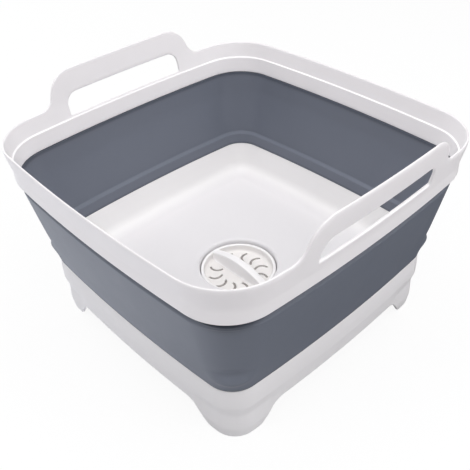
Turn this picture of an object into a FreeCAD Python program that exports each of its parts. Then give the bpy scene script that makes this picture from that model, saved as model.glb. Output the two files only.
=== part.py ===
import FreeCAD
import Part
import math
import os

# A folding washing up bowl, open and standing on its feet.
# Millimetres, +Z up, origin on the ground under the middle of the bowl.
# X runs from handle to handle, Y along the plain sides.
# Every level ring of the bowl is the rim outline moved inward by an inset.

V = FreeCAD.Vector
UP = V(0, 0, 1)
half = 0.5
mm3_to_cm3 = 0.001

# Clearances and the one overrun that every cut shares
body_gap = 0.3
bond_gap = 0.2
overrun = 5.0

# Turns, in degrees
full_turn = 360
half_turn = 180
quarter_turn = 90

# Main levels above the ground
floor_top = 43.0
tray_depth = 34.5
wall_rise = 72.5
rim_height = 34.4
tray_top = floor_top + tray_depth
band_bottom = tray_top + wall_rise
rim_top = band_bottom + rim_height

# Plan outline at the rim's top edge
rim_half_x = 153.5
rim_half_y = 154.1
rim_corner_radius = 50.0
side_bow_radius = 1470.0

# Rim frame: flared lip, inner ledge, upright band round the soft wall
rim_wall = 2.6
rim_edge_round = 1.2
flare_height = 21.9
flare_foot_inset = 4.6
flare_foot_round = 14.0
band_outer_inset = 5.6
band_edge_round = 0.6
ledge_depth = 14.6
ledge_drop = 0.6
ledge_back_inset = 5.6
ledge_width = 1.4
ledge_round = 0.8
socket_height = 6.0
socket_inset = 7.6
socket_lip = 1.0
socket_round = 0.3

# Handles: plates that carry the rim wall on upward, each with a finger gap
handle_height = 27.8
handle_lean_share = 0.16
handle_root_depth = 3.4
handle_sink = 0.1
handle_top_half_share = 0.462
handle_top_round = 24.0
handle_foot_half_share = 0.532
handle_foot_round = 13.0
handle_reach_share = 0.94
finger_half_share = 0.4145
finger_height = 19.9
finger_sill = 1.0
finger_top_round = 11.0
finger_bottom_round = 1.5

# Folding wall, its levels set from the rim's band above and the tray's edge below
neck_drop = 2.5
wall_neck_round = 2.0
upper_hinge_drop = 6.4
upper_hinge_inset = 9.4
upper_hinge_round = 3.0
cone_top_drop = 10.7
cone_top_inset = 9.2
cone_top_round = 5.0
cone_foot_rise = 12.0
cone_foot_inset = 19.0
cone_foot_round = 5.0
lower_hinge_rise = 3.5
lower_hinge_inset = 21.2
lower_hinge_round = 2.2
roll_drop = 5.5
roll_inset = 20.0
roll_round = 7.0
roll_foot_drop = 11.0
roll_foot_inset = 22.4
roll_foot_round = 8.0
skirt_drop = 16.6
skirt_inset = 25.0
skirt_round = 0.8
fold_rise = 13.0
fold_inset = 25.8
fold_round = 1.6
cone_wall = 2.5
step_rise = 14.8
step_back_round = 3.0
hinge_wall = 1.8
inner_hinge_drop = 4.5
wall_lip_inset = 9.2

# Base tray: wall bonded inside the soft wall, floor, skirt and feet
tray_top_inset = 27.2
tray_wall = 2.2
tray_edge_round = 0.5
tray_wall_foot_inset = 30.6
tray_fillet = 15.0
floor_thickness = 2.5
floor_ring_inset = 46.0
floor_overlap = 1.0
bond_foot_inset = 26.9
skirt_belly_drop = 13.5
skirt_belly_inset = 24.4
skirt_belly_round = 20.0
crease_drop = 22.5
crease_inset = 24.6
crease_round = 5.0
foot_neck_drop = 33.0
foot_neck_inset = 27.8
foot_neck_round = 7.0
foot_swell = 11.0
foot_swell_inset = 26.6
foot_swell_round = 14.0
foot_toe_inset = 28.4
foot_toe_round = 0.8
skirt_wall = 2.6
skirt_inner_round = 0.5
under_floor_round = 2.0
skirt_level = tray_top - skirt_drop

# Arches that leave a foot at each corner
arch_top = 22.0
arch_flat_half_share = 0.752
arch_foot_half_share = 0.905
arch_shoulder_round = 16.0
arch_toe_round = 6.0

# Ribs under the floor, from the drain well out to the feet
rib_thickness = 2.2
rib_depth = 9.5
rib_gusset_run = 47.5
rib_gusset_flat = 17.5
rib_gusset_bottom = 7.0
rib_end_inset = 28.8

# Drain well in the middle of the floor
well_radius = 36.9
well_wall = 2.4
well_draft = 0.4
well_edge_round = 1.4
well_depth = 16.6
well_seat_thickness = 2.5
well_hole_radius = 29.5
well_collar = 5.0
well_round = 0.8

# Drain strainer: shallow cup with slots, a grip bar and a snap stem
ring_gap = 0.9
ring_drop = 4.4
ring_lip = 2.8
ring_draft = 0.8
ring_round = 0.8
plate_depth = 6.6
plate_thickness = 1.8
plate_fillet = 2.5
grip_width = 7.0
grip_end_drop = 0.4
grip_rise = 7.9
grip_bury = 1.4
grip_round = 1.4
slot_ring_share = 0.62
slot_length = 11.5
slot_bulge = 3.0
slot_width = 2.4
slots_in_turn = 12
slots_under_grip = (0, 6)
stem_radius = 4.0
head_radius = 5.6
head_height = 2.6
head_round = 1.0

# Seal: soft stopper disc between the strainer and the well's seat
seal_inset = 1.8
seal_lip_round = 1.2
seal_groove_reach = 2.5
seal_groove_depth = 1.0

well_seat = floor_top - well_depth
ring_radius = well_radius - ring_gap
ring_top = floor_top - ring_drop
plate_top = ring_top - plate_depth
plate_under = plate_top - plate_thickness


def rounded_wire(points):
    """Closed wire in XZ through (x, z, radius) corners, each rounded by its radius."""
    edges = []
    count = len(points)
    spans = []
    for i in range(count):
        x, z, radius = points[i]
        before, after = points[i - 1], points[(i + 1) % count]
        corner = V(x, 0, z)
        back = (V(before[0], 0, before[1]) - corner).normalize()
        ahead = (V(after[0], 0, after[1]) - corner).normalize()
        turn = back.getAngle(ahead)
        if radius == 0 or math.pi - turn < 1e-6:
            spans.append((corner, None, corner))
            continue
        reach = radius / math.tan(turn * half)
        bisector = (back + ahead).normalize()
        middle = corner + bisector * (radius / math.sin(turn * half) - radius)
        spans.append((corner + back * reach, middle, corner + ahead * reach))
    for i in range(count):
        start, middle, end = spans[i]
        if middle is not None:
            edges.append(Part.Arc(start, middle, end).toShape())
        following = spans[(i + 1) % count][0]
        if end.distanceToPoint(following) > 1e-7:
            edges.append(Part.LineSegment(end, following).toShape())
    return Part.Wire(edges)


def outline_arcs():
    """Centre, radius, start and end angle of the eight arcs of the rim outline."""
    side_x = V(rim_half_x - side_bow_radius, 0, 0)
    side_y = V(0, rim_half_y - side_bow_radius, 0)
    reach = side_bow_radius - rim_corner_radius
    across = (side_y - side_x) * half
    rise = math.sqrt(reach ** 2 - across.Length ** 2)
    corner = side_x + across + V(-across.y, across.x, 0).normalize() * rise
    angle_x = math.degrees(math.atan2(corner.y - side_x.y, corner.x - side_x.x))
    angle_y = math.degrees(math.atan2(corner.y - side_y.y, corner.x - side_y.x))
    arcs = []
    for turn in (0, half_turn):
        spin = FreeCAD.Rotation(UP, turn)
        far = turn + half_turn
        mirrored = V(-corner.x, corner.y, 0)
        arcs.append((spin.multVec(side_x), side_bow_radius, turn - angle_x, turn + angle_x))
        arcs.append((spin.multVec(corner), rim_corner_radius, turn + angle_x, turn + angle_y))
        arcs.append((spin.multVec(side_y), side_bow_radius, turn + angle_y, far - angle_y))
        arcs.append((spin.multVec(mirrored), rim_corner_radius, far - angle_y, far - angle_x))
    return arcs


ARCS = outline_arcs()
SIDES_X = (ARCS[0], ARCS[4])
CORNERS = (ARCS[1], ARCS[3], ARCS[5], ARCS[7])


def half_side(arc):
    """Half the length of a bowed side, from its middle to where the corner starts."""
    centre, radius, start, end = arc
    return radius * math.sin(math.radians(end - start) * half)


def swept_arc(arc, profile):
    """One stretch of a ring: the (inset, z, radius) profile turned about the arc's own axis."""
    centre, radius, start, end = arc
    wire = rounded_wire([(radius - inset, z, r) for inset, z, r in profile])
    solid = Part.Face(wire).revolve(V(0, 0, 0), UP, end - start)
    solid.rotate(V(0, 0, 0), UP, start)
    solid.translate(centre)
    return solid


def ring(profile):
    """Closed ring that follows the rim outline with the same profile all round."""
    pieces = [swept_arc(arc, profile) for arc in ARCS]
    return pieces[0].multiFuse(pieces[1:]).removeSplitter()


def outline_face(inset, z):
    """Flat face bounded by the rim outline moved inward by the inset."""
    edges = []
    for centre, radius, start, end in ARCS:
        circle = Part.Circle(centre + UP * z, UP, radius - inset)
        edges.append(circle.toShape(math.radians(start), math.radians(end)))
    return Part.Face(Part.Wire(Part.__sortEdges__(edges)))


def turned(points):
    """Solid of revolution about the Z axis from (radius, z, rounding) points."""
    return Part.Face(rounded_wire(points)).revolve(V(0, 0, 0), UP, full_turn)


def block_between(points, axis, low, high):
    """Prism of an outline given in (across, z, radius), run along X or Y from low to high."""
    face = Part.Face(rounded_wire(points))
    if axis == "X":
        face.rotate(V(0, 0, 0), UP, quarter_turn)
        face.translate(V(low, 0, 0))
        return face.extrude(V(high - low, 0, 0))
    face.translate(V(0, low, 0))
    return face.extrude(V(0, high - low, 0))


def both_sides(points):
    """Closed outline from (across, z, radius) points on one side and their mirror image."""
    return points + [(-across, z, radius) for across, z, radius in points[::-1]]


def rim_profile():
    ledge_top = rim_top - ledge_depth
    socket_top = band_bottom + socket_height
    return [
        (band_outer_inset, band_bottom, band_edge_round),
        (flare_foot_inset, rim_top - flare_height, flare_foot_round),
        (0, rim_top, rim_edge_round),
        (rim_wall, rim_top, rim_edge_round),
        (ledge_back_inset, ledge_top, ledge_round),
        (ledge_back_inset + ledge_width, ledge_top - ledge_drop, ledge_round),
        (socket_inset + socket_lip, socket_top, socket_round),
        (socket_inset, socket_top, 0),
        (socket_inset, band_bottom, socket_round),
    ]


def handle_outline(side):
    return both_sides([
        (side * handle_reach_share, rim_top - handle_root_depth, 0),
        (side * handle_reach_share, rim_top - rim_edge_round, 0),
        (rim_half_y * handle_foot_half_share, rim_top - rim_edge_round, handle_foot_round),
        (rim_half_y * handle_top_half_share, rim_top + handle_height, handle_top_round),
    ])


def finger_outline():
    bottom = rim_top - ledge_depth + finger_sill
    width = rim_half_y * finger_half_share
    return both_sides([
        (width, bottom, finger_bottom_round),
        (width, bottom + finger_height, finger_top_round),
    ])


def handle(arc):
    """Leaning plate that carries the rim wall on upward, cut to the handle's outline."""
    root = rim_top - handle_root_depth
    top = rim_top + handle_height + overrun
    lean = handle_lean_share * (top - rim_top)
    outer_slope = flare_foot_inset / flare_height
    inner_slope = (ledge_back_inset - rim_wall) / ledge_depth
    plate = swept_arc(arc, [
        (handle_root_depth * outer_slope + handle_sink, root, 0),
        (0, rim_top, 0),
        (-lean, top, 0),
        (rim_wall - lean, top, 0),
        (rim_wall, rim_top, 0),
        (rim_wall + handle_root_depth * inner_slope - handle_sink, root, 0),
    ])
    span = rim_half_x + lean + overrun
    return plate.common(block_between(handle_outline(half_side(arc)), "X", -span, span))


def rim_frame():
    frame = ring(rim_profile())
    frame = frame.multiFuse([handle(arc) for arc in SIDES_X])
    span = frame.BoundBox.XMax + overrun
    frame = frame.cut(block_between(finger_outline(), "X", -span, span))
    return frame.removeSplitter()


def folding_wall():
    """Soft wall: necks into the rim, hinges, tapers, hinges again and rolls round the tray."""
    neck = socket_inset + body_gap
    top = band_bottom + socket_height - body_gap
    cone_top = band_bottom - cone_top_drop
    cone_foot = tray_top + cone_foot_rise
    slope = (cone_foot_inset - cone_top_inset) / (cone_top - cone_foot)
    step = tray_top + step_rise
    step_back = cone_foot_inset + cone_wall - (step - cone_foot) * slope
    return ring([
        (neck, top, bond_gap),
        (neck, band_bottom - neck_drop, wall_neck_round),
        (upper_hinge_inset, band_bottom - upper_hinge_drop, upper_hinge_round),
        (cone_top_inset, cone_top, cone_top_round),
        (cone_foot_inset, cone_foot, cone_foot_round),
        (lower_hinge_inset, tray_top + lower_hinge_rise, lower_hinge_round),
        (roll_inset, tray_top - roll_drop, roll_round),
        (roll_foot_inset, tray_top - roll_foot_drop, roll_foot_round),
        (skirt_inset, skirt_level, skirt_round),
        (bond_foot_inset - bond_gap, skirt_level, 0),
        (tray_top_inset - tray_wall - bond_gap, tray_top + bond_gap, 0),
        (tray_top_inset, tray_top + bond_gap, 0),
        (fold_inset, tray_top + fold_rise, fold_round),
        (step_back, step, step_back_round),
        (cone_top_inset + cone_wall, cone_top, cone_top_round),
        (upper_hinge_inset + hinge_wall, band_bottom - inner_hinge_drop, upper_hinge_round),
        (wall_lip_inset, top, bond_gap),
    ])


def tray_profile():
    under = floor_top - floor_thickness
    foot_neck = skirt_level - foot_neck_drop
    skirt_top = skirt_level - bond_gap
    return [
        (tray_top_inset, tray_top, tray_edge_round),
        (tray_wall_foot_inset, floor_top, tray_fillet),
        (floor_ring_inset, floor_top, 0),
        (floor_ring_inset, under, 0),
        (skirt_belly_inset + skirt_wall, under, under_floor_round),
        (foot_neck_inset + skirt_wall, foot_neck, foot_neck_round),
        (foot_swell_inset + skirt_wall, foot_swell, foot_swell_round),
        (foot_toe_inset + skirt_wall, 0, skirt_inner_round),
        (foot_toe_inset, 0, foot_toe_round),
        (foot_swell_inset, foot_swell, foot_swell_round),
        (foot_neck_inset, foot_neck, foot_neck_round),
        (crease_inset, skirt_level - crease_drop, crease_round),
        (skirt_belly_inset, skirt_level - skirt_belly_drop, skirt_belly_round),
        (skirt_inset, skirt_top, skirt_round),
        (bond_foot_inset, skirt_top, 0),
        (tray_top_inset - tray_wall, tray_top, tray_edge_round),
    ]


def arch_outline(side):
    return both_sides([
        (side * arch_foot_half_share, -overrun, 0),
        (side * arch_foot_half_share, 0, arch_toe_round),
        (side * arch_flat_half_share, arch_top, arch_shoulder_round),
    ])


def corner_rib(arc):
    """Upright rib from the well to one corner, deepened where it stiffens the foot."""
    centre, radius, start, end = arc
    start = well_radius + well_wall * half
    end = centre.Length + radius - rib_end_inset
    bury = floor_thickness * half
    top = floor_top - bury
    bottom = floor_top - floor_thickness - rib_depth
    gusset = end - rib_gusset_flat
    face = Part.Face(rounded_wire([
        (start, top, 0),
        (end, top, 0),
        (end, rib_gusset_bottom, 0),
        (gusset, rib_gusset_bottom, 0),
        (end - rib_gusset_run, bottom, 0),
        (start, bottom, 0),
    ]))
    face.translate(V(0, -rib_thickness * half, 0))
    solid = face.extrude(V(0, rib_thickness, 0))
    solid.rotate(V(0, 0, 0), UP, math.degrees(math.atan2(centre.y, centre.x)))
    return solid


def drain_well():
    under = floor_top - floor_thickness
    outer = well_radius + well_wall
    bottom = well_seat - well_seat_thickness
    return turned([
        (well_hole_radius, bottom, well_round),
        (outer - well_draft, bottom, well_wall),
        (outer, under, well_round),
        (outer + well_collar, under, 0),
        (outer + well_collar, floor_top, 0),
        (well_radius, floor_top, well_edge_round),
        (well_radius - well_draft, well_seat, well_round),
        (well_hole_radius, well_seat, well_round),
    ])


def base_tray():
    tray = ring(tray_profile())
    span = rim_half_y + overrun
    for axis, arc in (("X", ARCS[0]), ("Y", ARCS[2])):
        tray = tray.cut(block_between(arch_outline(half_side(arc)), axis, -span, span))
    under = floor_top - floor_thickness
    floor = outline_face(floor_ring_inset - floor_overlap, under).extrude(UP * floor_thickness)
    opening = Part.makeCylinder(
        well_radius + well_wall + well_collar - floor_overlap,
        floor_thickness + overrun + overrun, V(0, 0, under - overrun))
    ribs = [corner_rib(arc) for arc in CORNERS]
    return tray.multiFuse([floor.cut(opening), drain_well()] + ribs).removeSplitter()


def curved_slot(angle):
    """Cutter for one slot: a bent bar with round ends, bulging the same way round the ring."""
    arc_radius = ((slot_length * half) ** 2 + slot_bulge ** 2) / slot_bulge * half
    spread = math.asin(slot_length * half / arc_radius)
    centre = V(ring_radius * slot_ring_share, slot_bulge - arc_radius, plate_under - overrun)
    side = slot_width * half
    outer, inner, tip = arc_radius + side, arc_radius - side, spread + side / arc_radius

    def at(radius, turn):
        return centre + V(math.sin(turn) * radius, math.cos(turn) * radius, 0)

    edges = [
        Part.Arc(at(outer, -spread), at(outer, 0), at(outer, spread)).toShape(),
        Part.Arc(at(outer, spread), at(arc_radius, tip), at(inner, spread)).toShape(),
        Part.Arc(at(inner, spread), at(inner, 0), at(inner, -spread)).toShape(),
        Part.Arc(at(inner, -spread), at(arc_radius, -tip), at(outer, -spread)).toShape(),
    ]
    cutter = Part.Face(Part.Wire(edges)).extrude(UP * (plate_thickness + overrun + overrun))
    cutter.rotate(V(0, 0, 0), UP, angle)
    return cutter


def grip_bar():
    """Fin across the cup with an arched top and softened top edges."""
    low = plate_top - plate_thickness * half
    high = ring_top - grip_end_drop
    reach = ring_radius - grip_bury
    ends = [V(x, 0, z) for x in (-reach, reach) for z in (low, high)]
    top = Part.Arc(ends[1], V(0, 0, ring_top + grip_rise), ends[3]).toShape()
    lines = [Part.LineSegment(ends[i], ends[j]).toShape() for i, j in ((3, 2), (2, 0), (0, 1))]
    face = Part.Face(Part.Wire([top] + lines))
    face.translate(V(0, -grip_width * half, 0))
    bar = face.extrude(V(0, grip_width, 0))
    arched = [edge for edge in bar.Edges if isinstance(edge.Curve, Part.Circle)]
    return bar.makeFillet(grip_round, arched)


def drain_strainer():
    cup = turned([
        (0, plate_under, 0),
        (ring_radius - ring_draft, plate_under, ring_round),
        (ring_radius, ring_top, ring_round),
        (ring_radius - ring_lip, ring_top, ring_round),
        (ring_radius - ring_lip - ring_draft, plate_top, plate_fillet),
        (0, plate_top, 0),
    ])
    stem_top = plate_under + plate_thickness * half
    stem = turned([
        (0, well_seat - head_height, 0),
        (head_radius, well_seat - head_height, head_round),
        (head_radius, well_seat, 0),
        (stem_radius, well_seat, 0),
        (stem_radius, stem_top, 0),
        (0, stem_top, 0),
    ])
    cup = cup.multiFuse([grip_bar(), stem])
    pitch = full_turn / slots_in_turn
    slots = [curved_slot(i * pitch) for i in range(slots_in_turn) if i not in slots_under_grip]
    return cup.cut(Part.makeCompound(slots)).removeSplitter()


def plug_seal():
    bottom = well_seat + body_gap
    top = plate_under - body_gap
    hub = stem_radius + body_gap
    rim = ring_radius - seal_inset
    groove = well_hole_radius - seal_groove_reach
    return turned([
        (hub, bottom, 0),
        (groove, bottom, 0),
        (groove + seal_groove_depth, bottom + seal_groove_depth, 0),
        (groove + seal_groove_depth + seal_groove_depth, bottom, 0),
        (rim, bottom, seal_lip_round),
        (rim, top, seal_lip_round),
        (hub, top, 0),
    ])


PARTS = {
    "rim_frame": rim_frame,
    "folding_wall": folding_wall,
    "base_tray": base_tray,
    "drain_strainer": drain_strainer,
    "plug_seal": plug_seal,
}

os.makedirs("parts", exist_ok=True)
for name, make in PARTS.items():
    solids = make().Solids
    shape = solids[0]
    print(name, "solids", len(solids), "valid", shape.isValid(), "cm3", round(shape.Volume * mm3_to_cm3, 1))
    shape.exportStep("parts/" + name + ".step")
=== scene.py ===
"""Folding washing up bowl: white rim, grey folding wall, white footed tray and drain plug."""
import math

import bpy
import numpy as np
from mathutils import Matrix, Vector


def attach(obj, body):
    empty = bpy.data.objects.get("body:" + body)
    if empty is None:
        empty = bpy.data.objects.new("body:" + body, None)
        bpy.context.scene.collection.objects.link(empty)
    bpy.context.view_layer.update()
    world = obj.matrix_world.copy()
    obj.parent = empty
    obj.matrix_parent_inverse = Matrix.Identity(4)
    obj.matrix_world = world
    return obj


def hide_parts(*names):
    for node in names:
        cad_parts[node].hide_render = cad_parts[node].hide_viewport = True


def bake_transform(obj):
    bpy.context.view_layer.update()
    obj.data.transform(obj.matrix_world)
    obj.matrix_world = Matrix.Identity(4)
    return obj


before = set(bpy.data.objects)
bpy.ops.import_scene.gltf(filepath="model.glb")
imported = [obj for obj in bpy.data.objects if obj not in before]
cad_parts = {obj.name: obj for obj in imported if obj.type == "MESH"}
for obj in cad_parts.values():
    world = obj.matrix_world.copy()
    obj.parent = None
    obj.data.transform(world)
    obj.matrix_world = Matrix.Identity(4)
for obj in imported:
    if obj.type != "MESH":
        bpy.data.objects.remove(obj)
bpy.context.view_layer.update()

MM = 0.001

# Sizes in millimetres, as in the part's source
HALF_X, HALF_Y, CORNER_R, BOW_R = 153.5, 154.1, 50.0, 1470.0
FLOOR_TOP, FLOOR_UNDER, TRAY_TOP, BAND_BOTTOM, RIM_TOP = 43.0, 40.5, 77.5, 150.0, 184.4
CREASE = 38.4
HANDLE_TOP, HANDLE_LEAN = 212.2, 0.16
RIM_WALL = 2.6

# The wall's joints with the tray and the ledge, as low as the photograph shows them
SKIRT_LEVEL, INNER_JOINT = 59.6, 154.3

# Points on each corner and each plain side of the outline, and what counts as equal
CORNER_STEPS, PLAIN_STEPS = 30, 44
SLACK, ANGLE_SLACK, STRAIGHT = 0.01, 1e-4, 1e-5


# Paths and profiles

def rounded(points, arc_step=12.0, support=0.5, longest=math.inf):
    """Closed outline with rounded corners, as an (N, 2) array.

    Each (x, z, radius) corner becomes a circular arc tangent to both of its lines: the arc's centre
    lies on the corner's bisector at radius / sin(half angle). Straight runs get a supporting point
    close to each end, so that the shading of a flat face stays flat, and no step is over longest.
    The first and last corner are joined.
    """
    pts = np.asarray([p[:2] for p in points], float)
    radii = [p[2] for p in points]
    arcs = []
    for here, before, after, radius in zip(pts, np.roll(pts, 1, 0), np.roll(pts, -1, 0), radii):
        back = (before - here) / np.linalg.norm(before - here)
        ahead = (after - here) / np.linalg.norm(after - here)
        angle = math.acos(np.clip(back @ ahead, -1, 1))
        turn = math.pi - angle
        if radius == 0 or turn < STRAIGHT:
            arcs.append(here[None])
            continue
        reach = radius / math.tan(angle / 2)
        bisector = (back + ahead) / np.linalg.norm(back + ahead)
        centre = here + bisector * radius / math.sin(angle / 2)
        first, last = here + back * reach - centre, here + ahead * reach - centre
        steps = max(3, int(math.degrees(turn) / arc_step) + 2)
        t = np.linspace(0, 1, steps)[:, None]
        arcs.append(centre + (np.sin((1 - t) * turn) * first + np.sin(t * turn) * last) / math.sin(turn))
    line = []
    for arc, following in zip(arcs, arcs[1:] + arcs[:1]):
        line.append(arc)
        start, end = arc[-1], following[0]
        length = np.linalg.norm(end - start)
        if length < 2.5 * support:
            continue
        inner = np.linspace(support, length - support, max(2, int(length / longest) + 2))
        line.append(start + (end - start) * (inner / length)[:, None])
    return np.concatenate(line)


def rim_path(side_marks):
    """Points, outward normals and side numbers of the rim's bowed outline, anticlockwise from the +X side.

    The outline is eight tangent arcs: four sides of large radius and four corners. side_marks are
    the distances along the handle sides, from the middle, that must fall on a point. Side numbers are
    1 on the handle sides, 2 on the plain sides and 0 in the corners.
    """
    side_x, side_y = np.array([HALF_X - BOW_R, 0.0]), np.array([0.0, HALF_Y - BOW_R])
    across = (side_y - side_x) / 2
    rise = math.sqrt((BOW_R - CORNER_R) ** 2 - across @ across)
    corner = side_x + across + np.array([-across[1], across[0]]) / np.linalg.norm(across) * rise
    ax = math.atan2(*(corner - side_x)[::-1])
    ay = math.atan2(*(corner - side_y)[::-1])
    marks = np.asarray(side_marks, float)
    marks = np.concatenate([-marks[::-1], marks[1:]])
    handle_side = np.arcsin(marks / BOW_R)
    handle_side = handle_side[np.abs(handle_side) < ax - ANGLE_SLACK]
    handle_side = np.concatenate([[-ax], handle_side])
    turn = np.linspace(ax, ay, CORNER_STEPS, endpoint=False)
    plain_side = np.linspace(ay, math.pi - ay, PLAIN_STEPS, endpoint=False)
    far_turn = math.pi - turn[::-1] - (turn[1] - turn[0])
    points, normals, sides = [], [], []
    for spin in (1.0, -1.0):
        for centre, radius, angles, side in (
                (side_x, BOW_R, handle_side, 1), (corner, CORNER_R, turn, 0),
                (side_y, BOW_R, plain_side, 2), (corner * [-1, 1], CORNER_R, far_turn, 0)):
            n = np.column_stack([np.cos(angles), np.sin(angles)]) * spin
            points.append(centre * spin + n * radius)
            normals.append(n)
            sides.append(np.full(len(angles), side))
    return np.concatenate(points), np.concatenate(normals), np.concatenate(sides)


def carried(points, normals, inset, level):
    """Ring surface: each outline point moved inward by inset along its normal, at height level.

    inset and level are (S,) for one profile all round or (T, S) where the profile changes.
    """
    inset = np.broadcast_to(inset, (len(points), np.shape(inset)[-1]))
    level = np.broadcast_to(level, inset.shape)
    xy = points[:, None, :] - normals[:, None, :] * inset[:, :, None]
    return np.concatenate([xy, level[:, :, None]], axis=2)


def mid_corner(normals, sides):
    """Share from 0 at a corner's ends to 1 in its middle: the squared sine of twice the corner's angle."""
    return np.where(sides == 0, (2 * normals[:, 0] * normals[:, 1]) ** 2, 0)[:, None]


def bell(level, middle, reach):
    """Bell curve over the height: 1 at middle, 1/e at reach above and below it."""
    return np.exp(-((level - middle) / reach) ** 2)


def turned(profile, steps):
    """Surface of revolution: (radius, z) profile turned about Z in equal steps."""
    turn = np.linspace(0, 2 * math.pi, steps, endpoint=False)[:, None]
    return np.stack([profile[:, 0] * np.cos(turn), profile[:, 0] * np.sin(turn),
                     np.broadcast_to(profile[:, 1], (steps, len(profile)))], axis=2)


def quads(rows, columns, wrap_rows=True):
    """Corner numbers of a grid's faces, four for each step along the rows and round the columns.

    Columns close on themselves, and so do rows unless wrap_rows is False.
    """
    i = np.arange(rows if wrap_rows else rows - 1)[:, None]
    j = np.arange(columns)[None, :]
    below, right = (i + 1) % rows, (j + 1) % columns
    return np.stack(np.broadcast_arrays(i * columns + j, below * columns + j,
                                        below * columns + right, i * columns + right), axis=2)


def end_cap(columns):
    """Faces that close the first ring of a grid: each joins two points to the two opposite ones."""
    j = np.arange((columns - 1) // 2)
    return np.stack([j, j + 1, columns - 2 - j, columns - 1 - j], 1)


def piece(name, vertices, faces, material, body, node):
    """Mesh piece from millimetre vertices and four-cornered faces, riding its body and hiding the imported
    part it replaces.
    """
    faces = np.asarray(faces).reshape(-1, 4)
    vertices = np.asarray(vertices, np.float32).reshape(-1, 3)
    mesh = bpy.data.meshes.new(name)
    mesh.vertices.add(len(vertices))
    mesh.vertices.foreach_set("co", (vertices * MM).ravel())
    mesh.loops.add(faces.size)
    mesh.loops.foreach_set("vertex_index", faces.astype(np.int32).ravel())
    mesh.polygons.add(len(faces))
    mesh.polygons.foreach_set("loop_start", np.arange(0, faces.size, 4, dtype=np.int32))
    mesh.polygons.foreach_set("use_smooth", np.ones(len(faces), bool))
    mesh.update(calc_edges=True)
    mesh.validate()
    obj = bpy.data.objects.new(name, mesh)
    bpy.context.collection.objects.link(obj)
    mesh.materials.append(material)
    if body:
        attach(obj, body)
    if node:
        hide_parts(node)
    return obj


def paint(obj, name, values):
    """Point attribute for a material's painted light or shade, one value for each vertex."""
    attribute = obj.data.attributes.new(name, "FLOAT", "POINT")
    attribute.data.foreach_set("value", np.asarray(values, np.float32).ravel())


# Shader groups and materials

def group(name, inputs, outputs):
    """Empty shader node group with float sockets, from {input: value} and the outputs' names."""
    tree = bpy.data.node_groups.new(name, "ShaderNodeTree")
    for label, value in inputs.items():
        socket = tree.interface.new_socket(label, in_out="INPUT", socket_type="NodeSocketFloat")
        socket.default_value = value
    for label in outputs:
        tree.interface.new_socket(label, in_out="OUTPUT", socket_type="NodeSocketFloat")
    return tree, tree.nodes.new("NodeGroupInput"), tree.nodes.new("NodeGroupOutput")


def node(tree, kind, links=(), **values):
    """Node with its properties set. links holds {input: socket or value}."""
    made = tree.nodes.new(kind)
    for key, value in values.items():
        setattr(made, key, value)
    for key, source in dict(links).items():
        if hasattr(source, "is_output"):
            tree.links.new(source, made.inputs[key])
        else:
            made.inputs[key].default_value = source
    return made


def colour_mix(tree, share, first, second):
    """Colour that goes from first to second by share; first may be a socket or a colour."""
    mix = node(tree, "ShaderNodeMix", data_type="RGBA")
    tree.links.new(share, mix.inputs["Factor"])
    if hasattr(first, "is_output"):
        tree.links.new(first, mix.inputs["A"])
    else:
        mix.inputs["A"].default_value = (*first, 1)
    mix.inputs["B"].default_value = (*second, 1)
    return mix.outputs["Result"]


def moulded_skin_group():
    """Moulded plastic skin: slow drift of tone, fine grain for roughness and bump.

    Tone is 1 plus Drift times a slow noise; Rough is Base Rough plus grain and slow sheen patches;
    Height is fine grain plus a shallow slow waviness, in metres.
    """
    tree, gin, gout = group(
        "moulded_skin",
        {"Drift": 0.04, "Base Rough": 0.4, "Rough Spread": 0.08, "Grain Scale": 2600.0,
         "Grain Depth": 0.00002, "Wave Depth": 0.00015},
        ("Tone", "Rough", "Height"))
    place = node(tree, "ShaderNodeTexCoord").outputs["Object"]

    def noise(scale, detail, roughness):
        links = {"Vector": place, "Scale": scale, "Detail": detail, "Roughness": roughness}
        return node(tree, "ShaderNodeTexNoise", links).outputs["Fac"]

    def math_node(operation, a, b):
        return node(tree, "ShaderNodeMath", {0: a, 1: b}, operation=operation).outputs[0]

    def centred(value, depth):
        return math_node("MULTIPLY", math_node("SUBTRACT", value, 0.5), gin.outputs[depth])

    slow = noise(11.0, 3.0, 0.55)
    patch = noise(45.0, 4.0, 0.6)
    grain = noise(gin.outputs["Grain Scale"], 2.0, 0.5)
    tone = math_node("ADD", centred(slow, "Drift"), 1.0)
    spread = math_node("ADD", centred(patch, "Rough Spread"), centred(grain, "Rough Spread"))
    rough = math_node("ADD", spread, gin.outputs["Base Rough"])
    height = math_node("ADD", math_node("MULTIPLY", grain, gin.outputs["Grain Depth"]),
                       math_node("MULTIPLY", slow, gin.outputs["Wave Depth"]))
    for label, socket in (("Tone", tone), ("Rough", rough), ("Height", height)):
        tree.links.new(socket, gout.inputs[label])
    return tree


MOULDED_SKIN = moulded_skin_group()
BUMP_STRENGTH = 0.6


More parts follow.
